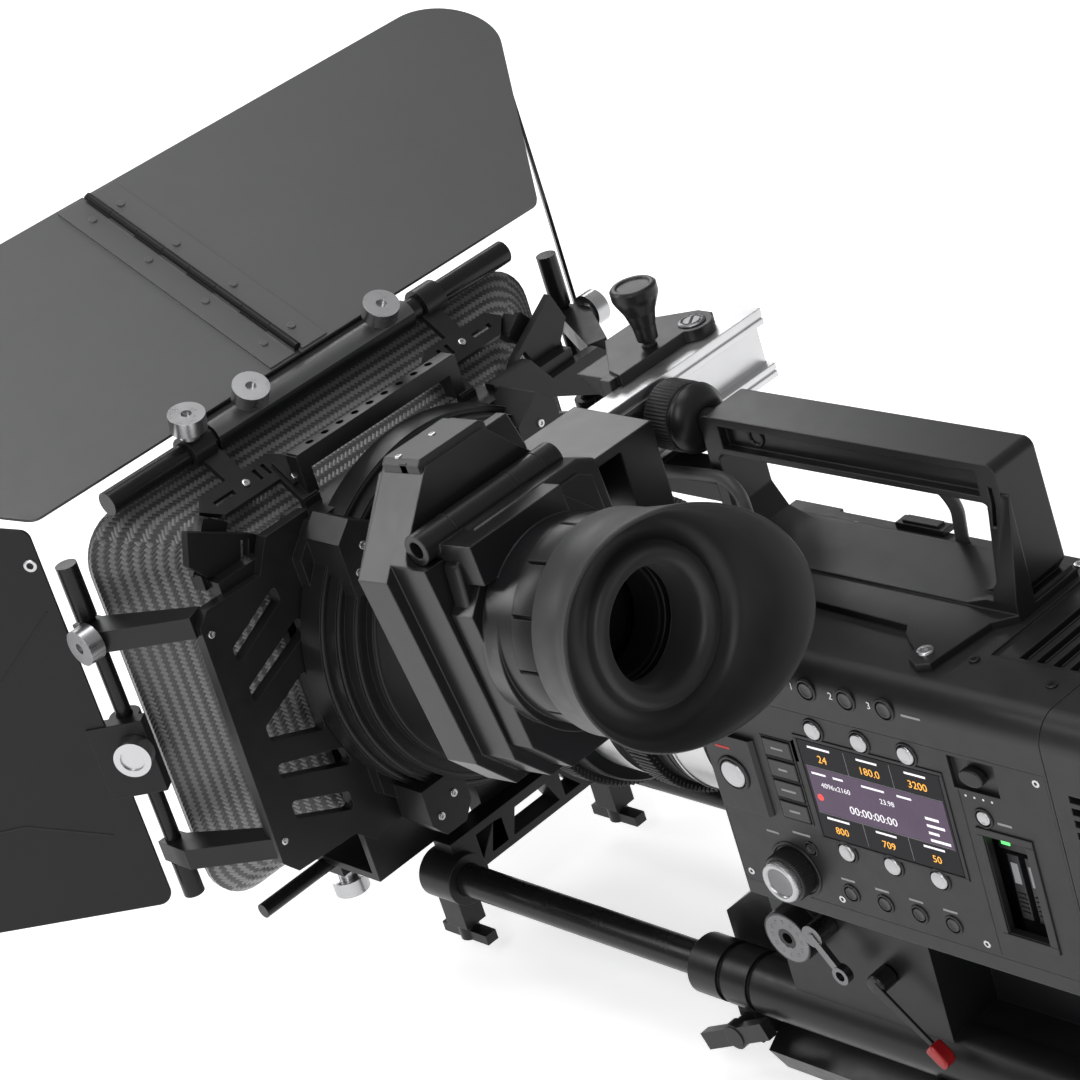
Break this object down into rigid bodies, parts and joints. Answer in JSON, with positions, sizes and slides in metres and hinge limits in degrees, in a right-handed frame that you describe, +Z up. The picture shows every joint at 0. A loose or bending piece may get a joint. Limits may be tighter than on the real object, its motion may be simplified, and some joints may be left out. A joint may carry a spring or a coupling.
{
  "type": "cinema camera rig",
  "caption": "Cinema camera on a rod base with zoom lens, matte box with folding flags, side control panel, top handle and a tilting side viewfinder.",
  "frame": {"origin": "mouth of the larger tripod thread, in the underside of the dovetail plate", "axes": "+Z up; +Y towards the rear of the camera, so the lens faces -Y; +X to the operator's left, the side with the controls and the viewfinder"},
  "size_m": [0.4842, 0.6781, 0.3459],
  "materials": {
    "black_aluminium": "satin black anodised",
    "rod_black": "satin black anodised",
    "bright_steel": "turned and polished",
    "red_lever": "steel blade with a deep red grip",
    "camera_black": "fine-textured satin black",
    "panel_black": "fine-textured black",
    "display": "glossy lit display",
    "silver_button": "silver",
    "dark_button": "satin black",
    "dial_metal": "turned silver face in a black knurled rim",
    "card_plastic": "black",
    "handle_black": "fine-textured satin black",
    "silver_aluminium": "clear anodised",
    "vf_plastic": "satin dark grey",
    "eyecup_rubber": "matt",
    "silver_barrel": "turned silver between black steps",
    "gear_black": "black toothed",
    "carbon_weave": "carbon fibre twill",
    "flag_grey": "satin mid grey",
    "flag_black": "satin black",
    "knob_grey": "dark grey knurled",
    "cable_grey": "grey sheath"
  },
  "bodies": {
    "plate": {"dovetail_plate": "black_aluminium"},
    "base": {"base_block": "black_aluminium", "rods": "rod_black", "camera_body": "camera_black", "rear_module": "camera_black", "control_panel": "panel_black", "lcd_screen": "display", "handle": "handle_black", "lens_barrel": "silver_barrel", "handle_cable": "cable_grey"},
    "clamp_lever": {"clamp_lever": "black_aluminium"},
    "rosette_lever": {"rosette_lever": "bright_steel"},
    "red_lever": {"red_lever": "red_lever"},
    "jog_dial": {"jog_dial": "dial_metal"},
    "power_switch": {"power_switch": "dark_button"},
    "memory_card_a": {"memory_card_a": "card_plastic"},
    "memory_card_b": {"memory_card_b": "card_plastic"},
    "handle_knob": {"handle_knob": "black_aluminium"},
    "mushroom_knob": {"mushroom_knob": "black_aluminium"},
    "vf_rail": {"vf_rail": "silver_aluminium"},
    "viewfinder": {"vf_housing": "vf_plastic"},
    "eyepiece": {"eyepiece": "vf_plastic"},
    "diopter_ring": {"diopter_ring": "vf_plastic"},
    "eyecup": {"eyecup": "eyecup_rubber"},
    "focus_ring": {"focus_ring": "gear_black"},
    "zoom_ring": {"zoom_ring": "gear_black"},
    "iris_ring": {"iris_ring": "gear_black"},
    "matte_box": {"front_bracket": "black_aluminium", "stage_frame": "black_aluminium", "hood": "carbon_weave", "flag_rods": "rod_black", "frame_knobs": "bright_steel"},
    "bracket_lever_left": {"bracket_lever_left": "black_aluminium"},
    "bracket_lever_right": {"bracket_lever_right": "black_aluminium"},
    "top_flag": {"top_flag_left": "flag_grey", "hinge_knobs": "bright_steel"},
    "top_flag_fold": {"top_flag_right": "flag_grey"},
    "left_flag": {"left_flag": "flag_black"},
    "right_flag": {"right_flag": "flag_black"},
    "flag_knob": {"flag_knob": "knob_grey"},
    "assign_button_1": {"assign_button_1": "dark_button"},
    "assign_button_2": {"assign_button_2": "dark_button"},
    "assign_button_3": {"assign_button_3": "dark_button"},
    "cancel_button": {"cancel_button": "dark_button"},
    "lcd_button_1": {"lcd_button_1": "silver_button"},
    "lcd_button_2": {"lcd_button_2": "silver_button"},
    "lcd_button_3": {"lcd_button_3": "silver_button"},
    "lcd_button_4": {"lcd_button_4": "silver_button"},
    "lcd_button_5": {"lcd_button_5": "silver_button"},
    "lcd_button_6": {"lcd_button_6": "silver_button"},
    "menu_key_1": {"menu_key_1": "dark_button"},
    "menu_key_2": {"menu_key_2": "dark_button"},
    "menu_key_3": {"menu_key_3": "dark_button"},
    "menu_key_4": {"menu_key_4": "dark_button"},
    "rec_button": {"rec_button": "silver_button"},
    "slot_button": {"slot_button": "dark_button"},
    "small_button_1": {"small_button_1": "dark_button"},
    "small_button_2": {"small_button_2": "dark_button"},
    "small_button_3": {"small_button_3": "dark_button"},
    "small_button_4": {"small_button_4": "dark_button"}
  },
  "joints": [
    {"name": "bridge_slide", "type": "slide", "parent": "plate", "child": "base", "axis": [0, 1, 0], "range_m": [-0.03, 0]},
    {"name": "clamp_lever_turn", "type": "hinge", "parent": "base", "child": "clamp_lever", "pos_m": [0.06, -0.1025, 0.0274], "axis": [1, 0, 0], "range_deg": [-90, 90]},
    {"name": "rosette_lever_turn", "type": "hinge", "parent": "base", "child": "rosette_lever", "pos_m": [0.06, -0.037, 0.097], "axis": [1, 0, 0], "range_deg": [-40, 40]},
    {"name": "red_lever_turn", "type": "hinge", "parent": "base", "child": "red_lever", "pos_m": [0.06, -0.01, 0.081], "axis": [1, 0, 0], "range_deg": [-20, 70]},
    {"name": "assign_button_1_press", "type": "slide", "parent": "base", "child": "assign_button_1", "axis": [-1, 0, 0], "range_m": [0, 0.0008], "stiffness_N_per_m": 500, "springref_m": -0.001},
    {"name": "assign_button_2_press", "type": "slide", "parent": "base", "child": "assign_button_2", "axis": [-1, 0, 0], "range_m": [0, 0.0008], "stiffness_N_per_m": 500, "springref_m": -0.001},
    {"name": "assign_button_3_press", "type": "slide", "parent": "base", "child": "assign_button_3", "axis": [-1, 0, 0], "range_m": [0, 0.0008], "stiffness_N_per_m": 500, "springref_m": -0.001},
    {"name": "cancel_button_press", "type": "slide", "parent": "base", "child": "cancel_button", "axis": [-1, 0, 0], "range_m": [0, 0.0008], "stiffness_N_per_m": 500, "springref_m": -0.001},
    {"name": "lcd_button_1_press", "type": "slide", "parent": "base", "child": "lcd_button_1", "axis": [-1, 0, 0], "range_m": [0, 0.0008], "stiffness_N_per_m": 500, "springref_m": -0.001},
    {"name": "lcd_button_2_press", "type": "slide", "parent": "base", "child": "lcd_button_2", "axis": [-1, 0, 0], "range_m": [0, 0.0008], "stiffness_N_per_m": 500, "springref_m": -0.001},
    {"name": "lcd_button_3_press", "type": "slide", "parent": "base", "child": "lcd_button_3", "axis": [-1, 0, 0], "range_m": [0, 0.0008], "stiffness_N_per_m": 500, "springref_m": -0.001},
    {"name": "lcd_button_4_press", "type": "slide", "parent": "base", "child": "lcd_button_4", "axis": [-1, 0, 0], "range_m": [0, 0.0008], "stiffness_N_per_m": 500, "springref_m": -0.001},
    {"name": "lcd_button_5_press", "type": "slide", "parent": "base", "child": "lcd_button_5", "axis": [-1, 0, 0], "range_m": [0, 0.0008], "stiffness_N_per_m": 500, "springref_m": -0.001},
    {"name": "lcd_button_6_press", "type": "slide", "parent": "base", "child": "lcd_button_6", "axis": [-1, 0, 0], "range_m": [0, 0.0008], "stiffness_N_per_m": 500, "springref_m": -0.001},
    {"name": "menu_key_1_press", "type": "slide", "parent": "base", "child": "menu_key_1", "axis": [-1, 0, 0], "range_m": [0, 0.0008], "stiffness_N_per_m": 500, "springref_m": -0.001},
    {"name": "menu_key_2_press", "type": "slide", "parent": "base", "child": "menu_key_2", "axis": [-1, 0, 0], "range_m": [0, 0.0008], "stiffness_N_per_m": 500, "springref_m": -0.001},
    {"name": "menu_key_3_press", "type": "slide", "parent": "base", "child": "menu_key_3", "axis": [-1, 0, 0], "range_m": [0, 0.0008], "stiffness_N_per_m": 500, "springref_m": -0.001},
    {"name": "menu_key_4_press", "type": "slide", "parent": "base", "child": "menu_key_4", "axis": [-1, 0, 0], "range_m": [0, 0.0008], "stiffness_N_per_m": 500, "springref_m": -0.001},
    {"name": "rec_button_press", "type": "slide", "parent": "base", "child": "rec_button", "axis": [-1, 0, 0], "range_m": [0, 0.001], "stiffness_N_per_m": 500, "springref_m": -0.001},
    {"name": "slot_button_press", "type": "slide", "parent": "base", "child": "slot_button", "axis": [-1, 0, 0], "range_m": [0, 0.0008], "stiffness_N_per_m": 500, "springref_m": -0.001},
    {"name": "small_button_1_press", "type": "slide", "parent": "base", "child": "small_button_1", "axis": [-1, 0, 0], "range_m": [0, 0.0008], "stiffness_N_per_m": 500, "springref_m": -0.001},
    {"name": "small_button_2_press", "type": "slide", "parent": "base", "child": "small_button_2", "axis": [-1, 0, 0], "range_m": [0, 0.0008], "stiffness_N_per_m": 500, "springref_m": -0.001},
    {"name": "small_button_3_press", "type": "slide", "parent": "base", "child": "small_button_3", "axis": [-1, 0, 0], "range_m": [0, 0.0008], "stiffness_N_per_m": 500, "springref_m": -0.001},
    {"name": "small_button_4_press", "type": "slide", "parent": "base", "child": "small_button_4", "axis": [-1, 0, 0], "range_m": [0, 0.0008], "stiffness_N_per_m": 500, "springref_m": -0.001},
    {"name": "jog_dial_turn", "type": "hinge", "parent": "base", "child": "jog_dial", "pos_m": [0.075, -0.029, 0.134], "axis": [1, 0, 0], "continuous": true},
    {"name": "power_switch_slide", "type": "slide", "parent": "base", "child": "power_switch", "axis": [0, 1, 0], "range_m": [-0.003, 0.003]},
    {"name": "memory_card_a_slide", "type": "slide", "parent": "base", "child": "memory_card_a", "axis": [1, 0, 0], "range_m": [0, 0.03]},
    {"name": "memory_card_b_slide", "type": "slide", "parent": "base", "child": "memory_card_b", "axis": [1, 0, 0], "range_m": [0, 0.03]},
    {"name": "handle_knob_turn", "type": "hinge", "parent": "base", "child": "handle_knob", "pos_m": [0.006, -0.095, 0.285], "axis": [0, 1, 0], "range_deg": [-180, 180]},
    {"name": "mushroom_knob_turn", "type": "hinge", "parent": "base", "child": "mushroom_knob", "pos_m": [-0.01, -0.1245, 0.303], "axis": [0, 0, 1], "range_deg": [-180, 180]},
    {"name": "vf_rail_slide", "type": "slide", "parent": "base", "child": "vf_rail", "axis": [1, 0, 0], "range_m": [0, 0.03]},
    {"name": "vf_tilt", "type": "hinge", "parent": "vf_rail", "child": "viewfinder", "pos_m": [0.07, -0.09, 0.285], "axis": [1, 0, 0], "range_deg": [-12, 45]},
    {"name": "eyepiece_flip", "type": "hinge", "parent": "viewfinder", "child": "eyepiece", "pos_m": [0.118, -0.08178, 0.31201], "axis": [1, 0, 0], "range_deg": [0, 90]},
    {"name": "diopter_turn", "type": "hinge", "parent": "eyepiece", "child": "diopter_ring", "pos_m": [0.118, -0.00901, 0.27401], "axis": [0, 0.9945, 0.1045], "range_deg": [-120, 120]},
    {"name": "eyecup_turn", "type": "hinge", "parent": "eyepiece", "child": "eyecup", "pos_m": [0.118, -0.00901, 0.27401], "axis": [0, 0.9945, 0.1045], "continuous": true},
    {"name": "focus_turn", "type": "hinge", "parent": "base", "child": "focus_ring", "pos_m": [0, -0.224, 0.1635], "axis": [0, 1, 0], "range_deg": [-150, 150]},
    {"name": "zoom_turn", "type": "hinge", "parent": "base", "child": "zoom_ring", "pos_m": [0, -0.179, 0.1635], "axis": [0, 1, 0], "range_deg": [-45, 45]},
    {"name": "iris_turn", "type": "hinge", "parent": "base", "child": "iris_ring", "pos_m": [0, -0.129, 0.1635], "axis": [0, 1, 0], "range_deg": [-40, 40]},
    {"name": "matte_box_slide", "type": "slide", "parent": "base", "child": "matte_box", "axis": [0, 1, 0], "range_m": [-0.01, 0.01]},
    {"name": "bracket_lever_left_turn", "type": "hinge", "parent": "matte_box", "child": "bracket_lever_left", "pos_m": [0.05, -0.293, 0.025], "axis": [0, 0, 1], "range_deg": [-90, 90]},
    {"name": "bracket_lever_right_turn", "type": "hinge", "parent": "matte_box", "child": "bracket_lever_right", "pos_m": [-0.05, -0.293, 0.025], "axis": [0, 0, 1], "range_deg": [-90, 90]},
    {"name": "top_flag_tilt", "type": "hinge", "parent": "matte_box", "child": "top_flag", "pos_m": [0, -0.341, 0.269], "axis": [1, 0, 0], "range_deg": [-20, 2]},
    {"name": "top_flag_fold_turn", "type": "hinge", "parent": "top_flag", "child": "top_flag_fold", "pos_m": [0, -0.34391, 0.27997], "axis": [0, 0.8934, -0.4493], "range_deg": [0, 170]},
    {"name": "left_flag_swing", "type": "hinge", "parent": "matte_box", "child": "left_flag", "pos_m": [0.1465, -0.345, 0.165], "axis": [0, 0, 1], "range_deg": [-45, 6]},
    {"name": "right_flag_swing", "type": "hinge", "parent": "matte_box", "child": "right_flag", "pos_m": [-0.1465, -0.345, 0.165], "axis": [0, 0, 1], "range_deg": [-6, 45]},
    {"name": "flag_knob_turn", "type": "hinge", "parent": "left_flag", "child": "flag_knob", "pos_m": [0.15253, -0.33648, 0.165], "axis": [0.788, 0.6157, 0], "range_deg": [-180, 180]}
  ]
}
